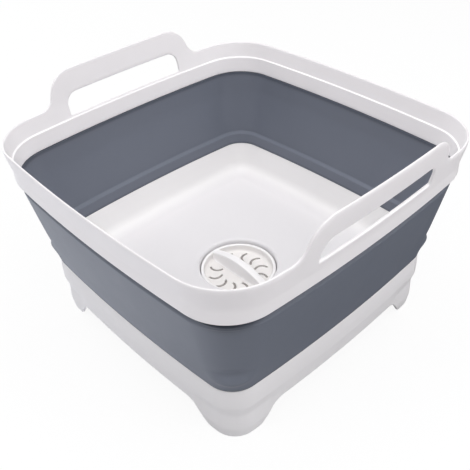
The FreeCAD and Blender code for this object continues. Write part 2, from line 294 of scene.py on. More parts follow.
def moulded(name, colour, shade_colour, drift, rough, spread, grain, depth, wave, specular, painted_light_and_shade=None):
    """Moulded plastic or elastomer: the skin group's tone mixes two near colours.

    accent is (attribute, share, colour) for painted light or shade: where the piece's attribute is 1,
    the colour goes to accent's by share.
    """
    material = bpy.data.materials.new(name)
    material.use_nodes = True
    tree = material.node_tree
    shader = tree.nodes["Principled BSDF"]
    skin = node(tree, "ShaderNodeGroup", node_tree=MOULDED_SKIN)
    for key, value in (("Drift", drift), ("Base Rough", rough), ("Rough Spread", spread),
                       ("Grain Scale", grain), ("Grain Depth", depth), ("Wave Depth", wave)):
        skin.inputs[key].default_value = value
    lightness = node(tree, "ShaderNodeMapRange", {
        "Value": skin.outputs["Tone"], "From Min": 1 - drift / 2, "From Max": 1 + drift / 2})
    base_colour = colour_mix(tree, lightness.outputs["Result"], shade_colour, colour)
    if painted_light_and_shade:
        attribute, share, painted_colour = painted_light_and_shade
        mask = node(tree, "ShaderNodeAttribute", attribute_name=attribute)
        part = node(tree, "ShaderNodeMath", {0: mask.outputs["Fac"], 1: share}, operation="MULTIPLY")
        base_colour = colour_mix(tree, part.outputs[0], base_colour, painted_colour)
    tree.links.new(base_colour, shader.inputs["Base Color"])
    tree.links.new(skin.outputs["Rough"], shader.inputs["Roughness"])
    bump = node(tree, "ShaderNodeBump", {
        "Strength": BUMP_STRENGTH, "Distance": 1.0, "Height": skin.outputs["Height"]})
    tree.links.new(bump.outputs["Normal"], shader.inputs["Normal"])
    shader.inputs["Specular IOR Level"].default_value = specular
    return material


PLASTIC = {"drift": 0.05, "spread": 0.07, "grain": 2400.0, "depth": 0.000012}
ELASTOMER = {"spread": 0.10, "grain": 3000.0, "depth": 0.000016, "wave": 0.0002}

# The rim's inner face and ledge are painted lighter through inner_face: painted light for the bounce light
# inside the bowl
WHITE = moulded("rim_white", (0.825, 0.80, 0.817), (0.805, 0.778, 0.797), rough=0.42, wave=0.0002,
                specular=0.45, painted_light_and_shade=("inner_face", 1.0, (0.873, 0.848, 0.865)), **PLASTIC)
# The tray's inner wall is painted lighter than its floor through painted_light_wall: painted light for the
# light bounced onto it
TRAY_WHITE = moulded("tray_white", (0.768, 0.752, 0.766), (0.748, 0.731, 0.746), rough=0.42, wave=0.0002,
                     specular=0.45, painted_light_and_shade=("painted_light_wall", 1.0, (0.89, 0.875, 0.875)), **PLASTIC)
DRAIN_WHITE = moulded("drain_white", (0.81, 0.79, 0.78), (0.79, 0.765, 0.75), rough=0.40, wave=0.0001,
                      specular=0.45, **PLASTIC)
# Lighter copy of the strainer's white: painted light on the lip ring and the grip bar, which catch the light
PAINTED_LIGHT_WHITE = moulded("painted_light_white", (0.90, 0.885, 0.89), (0.88, 0.865, 0.87), rough=0.34, wave=0.0001,
                     specular=0.5, **PLASTIC)
# The wall is darkened through painted_shade: painted shade at its joints and the rim's painted shadow under
# the band
GREY = moulded("grey_elastomer", (0.152, 0.167, 0.206), (0.143, 0.157, 0.194), drift=0.06, rough=0.46,
               specular=0.30, painted_light_and_shade=("painted_shade", 0.55, (0.0, 0.003, 0.012)), **ELASTOMER)
SEAL = moulded("seal_elastomer", (0.40, 0.37, 0.36), (0.36, 0.33, 0.32), drift=0.08, rough=0.62,
               specular=0.4, **ELASTOMER)


# Rim with its handles

HANDLE_FOOT_HALF, HANDLE_FOOT_R = 82.0, 13.0
HANDLE_TOP_HALF, HANDLE_SHOULDER_R = 71.2, 24.0
SILL_LOW, FINGER_TOP, FINGER_HALF, FINGER_R, SILL_R = 169.9, 190.7, 63.9, 11.0, 1.5
GAP_EDGE = 1.0
LEDGE_TOP, LEDGE_BACK, LEDGE_FRONT, LEDGE_FOOT = 169.8, 5.6, 7.0, 8.6
FLARE_FOOT, FLARE_INSET, FLARE_R = 162.5, 4.6, 14.0
BAND_INSET, SLOT_INSET, SLOT_BOTTOM = 5.6, 7.6, BAND_BOTTOM + 0.4

# Height and width of the top edge's rounding, on the outer and on the inner face
OUT_TALL, OUT_WIDE, IN_TALL, IN_WIDE = 5.0, 1.5, 1.6, 1.0

# In the corners the band's lower edge is lifted, and where its inset is under FILL_LIMIT it is fuller,
# fading out upwards
CORNER_FILL, CORNER_LIFT, FILL_LIMIT = 1.8, 1.2, 7.0
FILL_FADE, LIFT_FADE = (152.0, 166.0), (BAND_BOTTOM, 160.0)
SLOT_LIFT_FADE = BAND_BOTTOM, INNER_JOINT - 0.5

# Rows up a face: to the finger gap's sill, to its top and to the edge.
# Where there is no gap, the second run ends at PLAIN_SPLIT
CLIMB_STEPS = 7, 9, 9
PLAIN_SPLIT = RIM_TOP - 9.0


def handle_height(y):
    """Height of the rim's top edge at distance y along a handle side: plate, rounded shoulders, fillets."""
    beyond = 200.0
    outline = rounded([(-beyond, RIM_TOP, 0), (-HANDLE_FOOT_HALF, RIM_TOP, HANDLE_FOOT_R),
                       (-HANDLE_TOP_HALF, HANDLE_TOP, HANDLE_SHOULDER_R),
                       (HANDLE_TOP_HALF, HANDLE_TOP, HANDLE_SHOULDER_R),
                       (HANDLE_FOOT_HALF, RIM_TOP, HANDLE_FOOT_R), (beyond, RIM_TOP, 0), (0, 0, 0)], 4.0, 0.1)
    top = outline[outline[:, 1] > RIM_TOP - SLACK]
    order = np.argsort(top[:, 0], kind="stable")
    return np.interp(y, top[order, 0], top[order, 1])


def side_marks():
    """Distances along a handle side: fine round the finger gap's corners and the handle's shoulders."""
    straight_end, shoulder_end = FINGER_HALF - FINGER_R, 96.0
    gap_corner = straight_end + (FINGER_R + GAP_EDGE) * np.sin(np.linspace(0, math.pi / 2, 13))
    return np.concatenate([np.linspace(0, straight_end, 22)[:-1], gap_corner,
                           np.linspace(FINGER_HALF + GAP_EDGE, shoulder_end, 64)[1:],
                           shoulder_end + np.array([2.0, 4.0, 6.0])])


def finger_gap(reach, on_side):
    """Heights of the finger gap's sill and top in each column, with quarter round corners.

    Columns clear of the gap get plain heights, so that every column has the same number of rows.
    """
    corner_r, sill_r = FINGER_R + GAP_EDGE, SILL_R + GAP_EDGE
    in_corner = np.clip((reach - (FINGER_HALF - FINGER_R)) / corner_r, 0, 1)
    gap_top = np.where(on_side & (reach < FINGER_HALF + GAP_EDGE + SLACK),
                       FINGER_TOP - FINGER_R + corner_r * np.sqrt(1 - in_corner ** 2), PLAIN_SPLIT)
    in_sill = np.clip((reach - (FINGER_HALF + GAP_EDGE - sill_r)) / sill_r, 0, 1)
    gap_sill = np.where(on_side, SILL_LOW + sill_r * (1 - np.sqrt(1 - in_sill ** 2)), SILL_LOW + sill_r)
    return gap_sill, gap_top


def gap_strip(outer, inner):
    """Half round strip round a finger gap, between a ring of points on the outer and one on the inner face.

    Across the strip a point goes from outer to inner on a half ellipse: the cosine along the line that
    joins them, and GAP_EDGE times the sine towards the gap's middle, square to that line and the ring.
    """
    around = np.linspace(0, math.pi, 9)[1:-1, None]
    centre, spread = (outer + inner) / 2, (outer - inner) / 2
    along = np.roll(centre, -1, 0) - np.roll(centre, 1, 0)
    along /= np.linalg.norm(along, axis=1, keepdims=True)
    toward = np.cross(along, spread)
    toward /= np.linalg.norm(toward, axis=1, keepdims=True)
    toward *= np.sign(((centre.mean(0) - centre) * toward).sum(1).mean())
    return centre[:, None] + spread[:, None] * np.cos(around) + toward[:, None] * GAP_EDGE * np.sin(around)


def rim_frame():
    """Rim ring whose profile grows into the handle plates, with the finger gaps left open.

    Columns follow the outline. Up each column the outer face runs from the band's lower edge to a rounded
    edge at handle_height and back down the inner face to the ledge. In the finger gap's columns the faces
    between its sill and its top are left out, and gap_strip joins the outer to the inner face round the
    gap. The attribute inner_face is 1 on the inner face and the ledge and 0 elsewhere: painted light there.
    """
    points, normals, sides = rim_path(side_marks())
    on_side, reach = sides == 1, np.abs(points[:, 1])
    top = np.where(on_side, handle_height(points[:, 1]), RIM_TOP)
    gap_sill, gap_top = finger_gap(reach, on_side)
    in_corner = mid_corner(normals, sides)

    def climb(foot, edge_tall):
        """Heights up one face: foot to sill, sill to gap top, gap top to the edge's round."""
        spans = ((np.full_like(top, foot), gap_sill), (gap_sill, gap_top), (gap_top, top - edge_tall))
        rows = [low[:, None] + (high - low)[:, None] * np.linspace(0, 1, count)
                for (low, high), count in zip(spans, CLIMB_STEPS)]
        return np.concatenate([rows[0], rows[1][:, 1:], rows[2][:, 1:]], axis=1)

    over = -HANDLE_LEAN * (HANDLE_TOP - RIM_TOP)
    levels = [RIM_TOP, HANDLE_TOP]

    def outer_face(level):
        return np.interp(level, [FLARE_FOOT] + levels, [FLARE_INSET, 0.0, over])

    def inner_face(level):
        return np.interp(level, [LEDGE_TOP] + levels, [LEDGE_BACK, RIM_WALL, RIM_WALL + over])

    def fill(level):
        return CORNER_FILL * in_corner * np.interp(level, FILL_FADE, [1, 0])

    band = rounded([(SLOT_INSET, BAND_BOTTOM, 0.3), (BAND_INSET, BAND_BOTTOM, 0.6),
                    (FLARE_INSET, FLARE_FOOT, FLARE_R), (0, RIM_TOP, 0), (60, 160, 0)])
    band = band[:np.argmax(band[:, 1] > FLARE_FOOT + 1.5)]
    on_outside = band[:, 0] < FILL_LIMIT
    ledge = rounded([(RIM_WALL, RIM_TOP, 0), (LEDGE_BACK, LEDGE_TOP, 0.8),
                     (LEDGE_FRONT, LEDGE_TOP - 0.6, 0.8), (LEDGE_FOOT, INNER_JOINT, 0.3),
                     (SLOT_INSET, INNER_JOINT, 0), (SLOT_INSET, SLOT_BOTTOM, 0)], 12.0, 0.4)
    ledge = ledge[ledge[:, 1] < LEDGE_TOP + 0.5]
    ledge = ledge[:np.flatnonzero(np.isclose(ledge[:, 1], SLOT_BOTTOM))[0] + 1]

    arc = np.linspace(0, math.pi / 2, 8)
    rise, fall = arc[1:], arc[-2:0:-1]
    lift = CORNER_LIFT * in_corner
    z_band = band[:, 1] + lift * np.interp(band[:, 1], LIFT_FADE, [1, 0])
    z_out = climb(band[-1, 1] + 0.6, OUT_TALL)
    z_rise = (top - OUT_TALL)[:, None] + OUT_TALL * np.sin(rise)
    z_fall = (top - IN_TALL)[:, None] + IN_TALL * np.sin(fall)
    z_in = climb(ledge[0, 1] + 0.25, IN_TALL)[:, ::-1]
    z_ledge = ledge[:, 1] + lift * np.interp(ledge[:, 1], SLOT_LIFT_FADE, [1, 0])
    level = np.concatenate([z_band, z_out, z_rise, z_fall, z_in, z_ledge], 1)
    inset = np.concatenate([
        band[:, 0] - fill(band[:, 1]) * on_outside, outer_face(z_out) - fill(z_out),
        outer_face(z_rise) + OUT_WIDE * (1 - np.cos(rise)), inner_face(z_fall) - IN_WIDE * (1 - np.cos(fall)),
        inner_face(z_in), np.tile(ledge[:, 0], (len(points), 1))], 1)
    grid = carried(points, normals, inset, level)
    rows, columns = grid.shape[:2]

    under_sill, gap_tall = CLIMB_STEPS[0] - 1, CLIMB_STEPS[1] - 1
    sill_out = len(band) + under_sill
    top_out = sill_out + gap_tall
    inner_start = columns - len(ledge) - z_in.shape[1]
    sill_in = columns - len(ledge) - 1 - under_sill
    top_in = sill_in - gap_tall
    inside = on_side & (reach <= FINGER_HALF + GAP_EDGE + SLACK)
    open_column = inside & np.roll(inside, -1)
    keep = np.ones((rows, columns), bool)
    keep[np.ix_(open_column, np.arange(sill_out, top_out))] = False
    keep[np.ix_(open_column, np.arange(top_in, sill_in))] = False

    flat = grid.reshape(-1, 3)
    vertices, faces, count = [flat], [quads(rows, columns)[keep]], len(flat)
    up = np.arange(1, gap_tall)
    for sign in (1, -1):
        column = np.flatnonzero(inside & (points[:, 0] * sign > 0)) * columns
        outer_ring = np.concatenate([column + sill_out, column[-1] + sill_out + up,
                                     column[::-1] + top_out, column[0] + top_out - up])
        inner_ring = np.concatenate([column + sill_in, column[-1] + sill_in - up,
                                     column[::-1] + top_in, column[0] + top_in + up])
        strip = gap_strip(flat[outer_ring], flat[inner_ring])
        number = count + np.arange(strip.size // 3).reshape(strip.shape[:2])
        number = np.concatenate([outer_ring[:, None], number, inner_ring[:, None]], axis=1)
        ahead = np.roll(number, -1, 0)
        faces.append(np.stack([ahead[:, :-1], ahead[:, 1:], number[:, 1:], number[:, :-1]], 2).reshape(-1, 4))
        vertices.append(strip.reshape(-1, 3))
        count += len(vertices[-1])
    rim = piece("rim_with_handles", np.concatenate(vertices), np.concatenate(faces), WHITE,
                "rim", "rim_frame")
    # Painted light: a lighter white on the inner face and the ledge
    inner_face_painted_light = np.zeros(count)
    inner_face_painted_light[:len(flat)] = np.tile(np.arange(columns) >= inner_start, rows)
    paint(rim, "inner_face", inner_face_painted_light)
    return rim


# Folding wall

WALL_TOP, WALL_LIP = INNER_JOINT - 0.3, TRAY_TOP + 0.2
CORNER_ROLL_IN, CORNER_ROLL_OUT, NECK_FILL = 1.7, 3.3, 3.6

# Level of the middle and reach above and below it
ROLL_IN_AT, ROLL_OUT_AT, NECK_AT = (84.0, 4.6), (74.2, 5.0), (147.2, 6.0)

# Painted shade at the joints and the rim's painted shadow: its drop below the rim, then its reach under the
# rim, added to that in the corners, under the ledge and at the tray
SHADE_DROP, SHADE_UNDER_RIM, SHADE_CORNER, SHADE_UNDER_LEDGE, SHADE_OVER_TRAY = 2.5, 2.4, 4.6, 2.2, 0.9


def folding_wall():
    """Soft wall ring: a neck under the rim, a thinned hinge, a tapering face, an inner fold, a bonded foot.

    In the corners the neck is NECK_FILL fuller and the face over the foot rolls in by CORNER_ROLL_IN and
    out by CORNER_ROLL_OUT, each as a hump over the height. The attribute painted_shade is painted shade: 1 at
    the lines where the wall meets the ledge and the tray, and SHADE_DROP below the rim's band as the rim's
    painted shadow. It falls away from them as a bell curve, widest under the rim's corners.
    """
    outer = [(7.9, WALL_TOP, 0.2), (7.9, 150.2, 0.4), (10.2, 148.7, 1.0), (10.0, 144.2, 1.2),
             (8.5, 141.4, 2.2), (14.3, 112.0, 60.0), (25.0, SKIRT_LEVEL, 0.8)]
    foot = [(26.7, SKIRT_LEVEL, 0), (24.8, WALL_LIP, 0), (27.2, WALL_LIP, 0.3)]
    inner = [(25.9, 88.7, 0.9), (21.9, 90.2, 1.5), (12.2, 134.0, 60.0), (10.3, WALL_TOP, 0.3)]
    profile = rounded(outer + foot + inner, 10.0, 0.5, 3.0)[::-1]
    middle = np.array([(25.6, SKIRT_LEVEL), (24.0, WALL_LIP), (21.0, 90.0), (10.0, 140.0), (10.6, 144.0),
                       (8.5, WALL_TOP)])
    points, normals, sides = rim_path(np.linspace(0, 103.0, 26))
    in_corner = mid_corner(normals, sides)
    z = profile[:, 1]
    outside = profile[:, 0] < np.interp(z, middle[:, 1], middle[:, 0])
    neck = np.clip(1 - ((z - NECK_AT[0]) / NECK_AT[1]) ** 2, 0, 1) * (z < BAND_BOTTOM + 0.5)
    bulge = CORNER_ROLL_OUT * bell(z, *ROLL_OUT_AT) - CORNER_ROLL_IN * bell(z, *ROLL_IN_AT) + NECK_FILL * neck
    grid = carried(points, normals, profile[:, 0] - in_corner * bulge * outside, z)
    wall = piece("soft_wall", grid, quads(*grid.shape[:2]), GREY, None, "folding_wall")
    # Painted shade: the rim's shadow below its band, and the shade under the ledge and over the tray
    under_rim = bell(z, BAND_BOTTOM - SHADE_DROP, SHADE_UNDER_RIM + SHADE_CORNER * in_corner) * outside
    under_ledge = bell(z, WALL_TOP, SHADE_UNDER_LEDGE) * ~outside
    over_tray = bell(z, np.where(outside, SKIRT_LEVEL, WALL_LIP), SHADE_OVER_TRAY)
    paint(wall, "painted_shade", np.maximum(np.maximum(under_ledge, over_tray), under_rim))
    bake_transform(wall)
    return wall


# Base tray

ARCH_TOP, ARCH_R, TOE_R = 22.0, 16.0, 6.0

# Where the arch ends and where the foot begins, as shares of half a side
ARCH_FLAT, ARCH_FOOT = 0.752, 0.905

# Levels on the skirt, its lower edge's half round, and where the floor's flat and the well's rings begin
FOOT_BULGE, FOOT_GROOVE, SKIRT_TOP = 11.0, CREASE - 10.5, SKIRT_LEVEL - 0.2
SKIRT_EDGE = 0.9
FLOOR_INSET, RING_R = 47.5, 50.0
WELL_R, HOLE_R, WELL_TOP, WELL_UNDER, WELL_OUTER_R = 36.5, 29.5, 26.4, 23.9, 39.3

# Height over the floor where the inner wall's painted light begins, and over which it comes in
TONE_START, TONE_RUN = 0.6, 5.0


def arch_height(across, side):
    """Height of the skirt's lower edge: level arch, rounded shoulder, slope and rounded toe at the foot."""
    outline = rounded([(0, ARCH_TOP, 0), (side * ARCH_FLAT, ARCH_TOP, ARCH_R), (side * ARCH_FOOT, 0.0, TOE_R),
                       (side * 2, 0.0, 0), (0, -90, 0)], 3.0, 0.1)
    edge = outline[outline[:, 1] > -1e-6]
    order = np.argsort(edge[:, 0], kind="stable")
    return np.interp(np.abs(across), edge[order, 0], edge[order, 1])


def face_line(corners, arc_step):
    """Line of (inset, level) up a face of the skirt: the corners' outline without its far closing point."""
    line = rounded(corners + [(80, 20, 0)], arc_step, 0.3)
    line = line[line[:, 0] < 40]
    return line[np.argsort(line[:, 1])]


def inner_wall_line():
    """Line of (inset, level) from the tray's lip down its inner wall and round onto the floor."""
    line = rounded([(25.0, TRAY_TOP, 0.5), (27.2, TRAY_TOP, 0.5), (32.6, FLOOR_TOP, 16.0),
                    (FLOOR_INSET, FLOOR_TOP, 0), (25.0, 60, 0)], 8.0)
    start = np.argmin(np.hypot(*(line - [25.5, TRAY_TOP]).T))
    end = np.argmin(np.hypot(*(line - [FLOOR_INSET, FLOOR_TOP]).T))
    return line[start:end + 1]


def well_line():
    """Line of (radius, level) from the floor into the well, round the hole's ledge and under the floor."""
    line = rounded([(RING_R, FLOOR_TOP, 0), (WELL_R + 0.4, FLOOR_TOP, 2.8), (WELL_R, WELL_TOP, 0.8),
                    (HOLE_R, WELL_TOP, 0.8), (HOLE_R, WELL_UNDER, 0.8), (WELL_OUTER_R - 0.4, WELL_UNDER, 2.4),
                    (WELL_OUTER_R, FLOOR_UNDER, 0.8), (46.0, FLOOR_UNDER, 0), (60.0, FLOOR_UNDER, 0),
                    (60, FLOOR_TOP, 0)], 10.0, 0.4)
    return line[line[:, 0] < RING_R + 0.5]


def skirt(edge):
    """Insets and levels from the floor's underside down the skirt, round its lower edge and up to the lip.

    Down the skirt the levels are drawn between the floor or the crease and edge, the lower edge's height
    in each column, so the skirt leaves four feet. The groove over the feet fades out along the arches.
    """
    under = rounded([(50.0, FLOOR_UNDER, 0), (27.0, FLOOR_UNDER, 2.0), (28.4, 31.0, 0), (60, 31, 0)], 12.0)
    under = under[(under[:, 0] < FLOOR_INSET + 0.1) & (under[:, 1] > FLOOR_UNDER - 3.0)]
    inner = face_line([(27.2, 41.0, 0), (30.4, FOOT_GROOVE, 7.0), (29.2, FOOT_BULGE, 14.0),
                       (31.0, 0, 0)], 6.0)
    outer = face_line([(28.7, -3.0, 0), (26.6, FOOT_BULGE, 14.0), (27.3, FOOT_GROOVE, 8.0),
                       (24.6, CREASE, 6.0), (24.4, CREASE + 9, 20.0), (25.0, SKIRT_TOP, 0)], 5.0)
    upper = outer[(outer[:, 1] > CREASE + 3.2) & (outer[:, 1] < SKIRT_LEVEL - 1.6)]
    bond = rounded([(24.8, 50.0, 0), (25.0, SKIRT_TOP, 0.8), (26.9, SKIRT_TOP, 0), (25.0, TRAY_TOP, 0.5),
                    (60, TRAY_TOP, 0), (60, 50, 0)], 12.0)
    bond = bond[(bond[:, 0] < 27.5) & (bond[:, 1] > SKIRT_LEVEL - 1.2)]

    low, inner_top = (edge + SKIRT_EDGE)[:, None], under[-1, 1] - 0.3
    z_in = inner_top + (low - inner_top) * np.linspace(0, 1, 16)
    i_in = np.interp(z_in, inner[:, 1], inner[:, 0])
    z_out = low + (CREASE + 2.6 - low) * np.linspace(0, 1, 22)
    plain = np.interp(z_out, [0, ARCH_TOP, CREASE], [26.6, 25.6, 24.6])
    foot = np.clip(1.25 - (edge / ARCH_TOP) ** 2, 0, 1)[:, None]
    i_out = np.interp(z_out, outer[:, 1], outer[:, 0]) * foot + plain * (1 - foot)
    arc = np.linspace(0, math.pi, 9)[1:-1]
    i_edge = (i_in[:, -1:] + i_out[:, :1]) / 2 + (i_in[:, -1:] - i_out[:, :1]) / 2 * np.cos(arc)
    z_edge = low - SKIRT_EDGE * np.sin(arc)

    def all_round(values):
        return np.tile(values, (len(edge), 1))

    inset = [all_round(under[:, 0]), i_in, i_edge, i_out, all_round(upper[:, 0]), all_round(bond[:, 0])]
    level = [all_round(under[:, 1]), z_in, z_edge, z_out, all_round(upper[:, 1]), all_round(bond[:, 1])]
    return np.concatenate(inset, 1), np.concatenate(level, 1)


def base_tray():
    """Tray as one closed surface: inner wall, floor, well, skirt, feet and bonded lip.

    The lines are carried round the outline. Over and under the floor the rings change in proportion
    between the rounded square and the well's circle. The attribute painted_light_wall is 1 on the tray's
    inner
    wall and 0 elsewhere: painted light, a lighter white for the light bounced onto the wall.
    """
    points, normals, sides = rim_path(np.linspace(0, 103.5, 60))
    half_x = np.abs(points[sides == 1, 1]).max()
    half_y = np.abs(points[sides == 2, 0]).max()
    edge = np.select([sides == 1, sides == 2],
                     [arch_height(points[:, 1], half_x), arch_height(points[:, 0], half_y)], 0.0)
    wall, well = inner_wall_line(), well_line()
    direction = points / np.linalg.norm(points, axis=1, keepdims=True)
    circles = np.concatenate([direction[:, None] * well[:, :1],
                              np.tile(well[:, 1:], (len(points), 1, 1))], 2)
    share = np.linspace(0, 1, 9)[1:-1, None]
    head = carried(points, normals, wall[:, 0], wall[:, 1])
    floor = head[:, -1:] * (1 - share) + circles[:, :1] * share
    tail = carried(points, normals, *skirt(edge))
    ceiling = circles[:, -1:] * (1 - share) + tail[:, :1] * share
    grid = np.concatenate([head, floor, circles, ceiling, tail], axis=1)
    rows, columns = grid.shape[:2]
    tray = piece("tray_with_feet", grid, quads(rows, columns), TRAY_WHITE,
                 "base", "base_tray")
    # Painted light on the inner wall, fading in above the floor
    wall_painted_light = np.zeros(columns)
    wall_painted_light[:len(wall)] = np.clip((wall[:, 1] - FLOOR_TOP - TONE_START) / TONE_RUN, 0, 1)
    paint(tray, "painted_light_wall", np.tile(wall_painted_light, rows))
    return tray


RIB_START, RIB_END_INSET, RIB_HALF_THICK, RIB_TOP, RIB_BOTTOM = 38.1, 28.8, 1.1, 41.75, 31.0
GUSSET_RUN, GUSSET_FLAT, GUSSET_BOTTOM, GUSSET_R = 47.5, 17.5, 7.0, 8.0


def corner_ribs():
    """Four upright ribs under the floor, from the drain well to the corners, deep at the feet.

    A rib's lower edge is an outline over its length; its section is a plate with a half round lower edge.
    """
    points, normals, sides = rim_path([0.0, 50.0])
    right_corners = (sides == 0) & (points[:, 0] > 0)
    diagonal = np.argmin(np.where(right_corners, np.abs(normals[:, 0] - normals[:, 1]), math.inf))
    end = np.linalg.norm(points[diagonal]) - RIB_END_INSET
    bearing = math.atan2(points[diagonal, 1], points[diagonal, 0])
    edge = rounded([(RIB_START, RIB_BOTTOM, 0), (end - GUSSET_RUN, RIB_BOTTOM, GUSSET_R),
                    (end - GUSSET_FLAT, GUSSET_BOTTOM, GUSSET_R), (end, GUSSET_BOTTOM, 0),
                    (end, 80, 0), (RIB_START, 80, 0)], 6.0, 0.4, 6.0)
    edge = edge[edge[:, 1] < RIB_BOTTOM + SLACK]
    edge = edge[(edge[:, 0] < end - 1e-6) | (edge[:, 1] < GUSSET_BOTTOM + SLACK)]
    edge = edge[np.argsort(edge[:, 0], kind="stable")]
    arc = np.linspace(0, math.pi, 8)
    across = RIB_HALF_THICK * np.concatenate([[1], np.cos(arc), [-1]])
    top = np.full((len(edge), 1), RIB_TOP)
    level = np.concatenate([top, edge[:, 1:] + RIB_HALF_THICK * (1 - np.sin(arc)), top], 1)
    grid = np.stack([np.tile(edge[:, :1], (1, len(across))), np.tile(across, (len(edge), 1)), level], 2)
    rows, columns = grid.shape[:2]
    cap = end_cap(columns)
    one = np.concatenate([quads(rows, columns, wrap_rows=False).reshape(-1, 4), cap,
                          cap[:, ::-1] + (rows - 1) * columns])
    turns = np.array([bearing, math.pi - bearing, math.pi + bearing, -bearing])
    spin = np.zeros((4, 3, 3))
    spin[:, 0, 0] = spin[:, 1, 1] = np.cos(turns)
    spin[:, 1, 0], spin[:, 0, 1], spin[:, 2, 2] = np.sin(turns), -np.sin(turns), 1
    vertices = np.einsum("nij,kj->nki", spin, grid.reshape(-1, 3))
    faces = one[None] + (np.arange(4) * rows * columns)[:, None, None]
    return piece("corner_ribs", vertices, faces, TRAY_WHITE, "base", None)


# Drain plug

SLOT_LENGTH, SLOT_BULGE, SLOT_WIDTH, SLOT_RING = 11.5, 3.0, 2.4, 22.3
SLOTS_IN_TURN, SLOTS_UNDER_GRIP = 12, (0, 6)
PLATE_UNDER, PLATE_TOP, CUT_LOW, CUT_HIGH = 30.2, 32.0, 28.0, 34.0
STEM_R, SNAP_R, SNAP_LOW, SNAP_HIGH = 4.0, 5.6, 23.8, 26.4
CUP_R, CUP_TOP, CUP_WALL, LIP_LEVEL = 36.0, 38.6, 2.8, 37.4
AXIS_R, CUP_STEPS, SHARP_ANGLE = 0.001, 144, 38
SEAL_LOW, SEAL_HIGH, SEAL_R, SEAL_BORE, SEAL_GROOVE_R, SEAL_STEPS = 26.7, 29.9, 34.2, 4.3, 28.0, 120


def apply_difference(target, cutter):
    """Cuts the cutter out of the target's mesh with an exact difference, then drops the cutter."""
    cut = target.modifiers.new("slots", "BOOLEAN")
    cut.operation, cut.solver, cut.object = "DIFFERENCE", "EXACT", cutter
    evaluated = target.evaluated_get(bpy.context.evaluated_depsgraph_get())
    mesh = bpy.data.meshes.new_from_object(evaluated)
    target.modifiers.clear()
    old, target.data = target.data, mesh
    bpy.data.meshes.remove(old)
    used = cutter.data
    bpy.data.objects.remove(cutter)
    bpy.data.meshes.remove(used)


def slot_outlines():
    """Outlines of the slots, (slots, points, 2): bent bars with round ends, none under the grip.

    A bar's middle line is an arc of 7 mm radius about a point beside the slot ring. Its outline runs along
    the arc half a width outside it, round one end, back half a width inside it and round the other end.
    """
    half = SLOT_WIDTH / 2
    radius = ((SLOT_LENGTH / 2) ** 2 + SLOT_BULGE ** 2) / SLOT_BULGE / 2
    spread = math.asin(SLOT_LENGTH / 2 / radius)
    run, cap = np.linspace(-spread, spread, 15), np.linspace(0, math.pi, 9)[1:-1, None]
    side = np.column_stack([np.sin(run), np.cos(run)])
    ahead = np.array([math.cos(spread), -math.sin(spread)])
    end = side[-1] * (radius + half * np.cos(cap)) + ahead * half * np.sin(cap)
    ring = np.concatenate([side * (radius + half), end, side[::-1] * (radius - half), end[::-1] * [-1, 1]])
    ring = ring + [SLOT_RING, SLOT_BULGE - radius]
    turns = np.radians([360 / SLOTS_IN_TURN * i for i in range(SLOTS_IN_TURN) if i not in SLOTS_UNDER_GRIP])
    spin = np.array([[np.cos(turns), -np.sin(turns)], [np.sin(turns), np.cos(turns)]])
    return np.einsum("ijn,kj->nki", spin, ring)


def slot_cutter():
    """Object with one upright prism for each slot, through the strainer's plate."""
    rings = slot_outlines()
    low, high = np.full((*rings.shape[:2], 1), CUT_LOW), np.full((*rings.shape[:2], 1), CUT_HIGH)
    tube = np.stack([np.concatenate([rings, low], 2), np.concatenate([rings, high], 2)], 2)
    faces = []
    for number in np.arange(tube.size // 3).reshape(tube.shape[:3]):
        following = np.roll(number, -1, 0)
        faces += np.stack([number[:, 1], following[:, 1], following[:, 0], number[:, 0]], 1).tolist()
        faces += [number[:, 0].tolist(), number[::-1, 1].tolist()]
    mesh = bpy.data.meshes.new("slot_cutter")
    mesh.from_pydata((tube.reshape(-1, 3) * MM).tolist(), [], faces)
    cutter = bpy.data.objects.new("slot_cutter", mesh)
    bpy.context.collection.objects.link(cutter)
    bpy.context.view_layer.update()
    return cutter


def drain_strainer():
    """Cup of revolution: a lip ring in a lighter white as painted light, a slotted plate and a snap stem
    below.
    """
    cup = rounded([(AXIS_R, SNAP_LOW, 0), (SNAP_R, SNAP_LOW, 1.0), (SNAP_R, SNAP_HIGH, 0),
                   (STEM_R, SNAP_HIGH, 0), (STEM_R, PLATE_UNDER, 0), (CUP_R - 0.8, PLATE_UNDER, 0.8),
                   (CUP_R, CUP_TOP, 0.8), (CUP_R - CUP_WALL, CUP_TOP, 0.8),
                   (CUP_R - CUP_WALL - 0.8, PLATE_TOP, 2.5), (AXIS_R, PLATE_TOP, 0)], 12.0, 0.3, 4.0)
    body = piece("strainer_cup", turned(cup, CUP_STEPS), quads(CUP_STEPS, len(cup)), DRAIN_WHITE,
                 "strainer", "drain_strainer")
    apply_difference(body, slot_cutter())
    body.data.set_sharp_from_angle(angle=math.radians(SHARP_ANGLE))
    # Painted light: the lip ring gets the lighter white
    body.data.materials.append(PAINTED_LIGHT_WHITE)
    centres = np.empty(len(body.data.polygons) * 3, np.float32)
    body.data.polygons.foreach_get("center", centres)
    on_lip = centres.reshape(-1, 3)[:, 2] > LIP_LEVEL * MM
    body.data.polygons.foreach_set("material_index", on_lip.astype(np.int32))
    return body


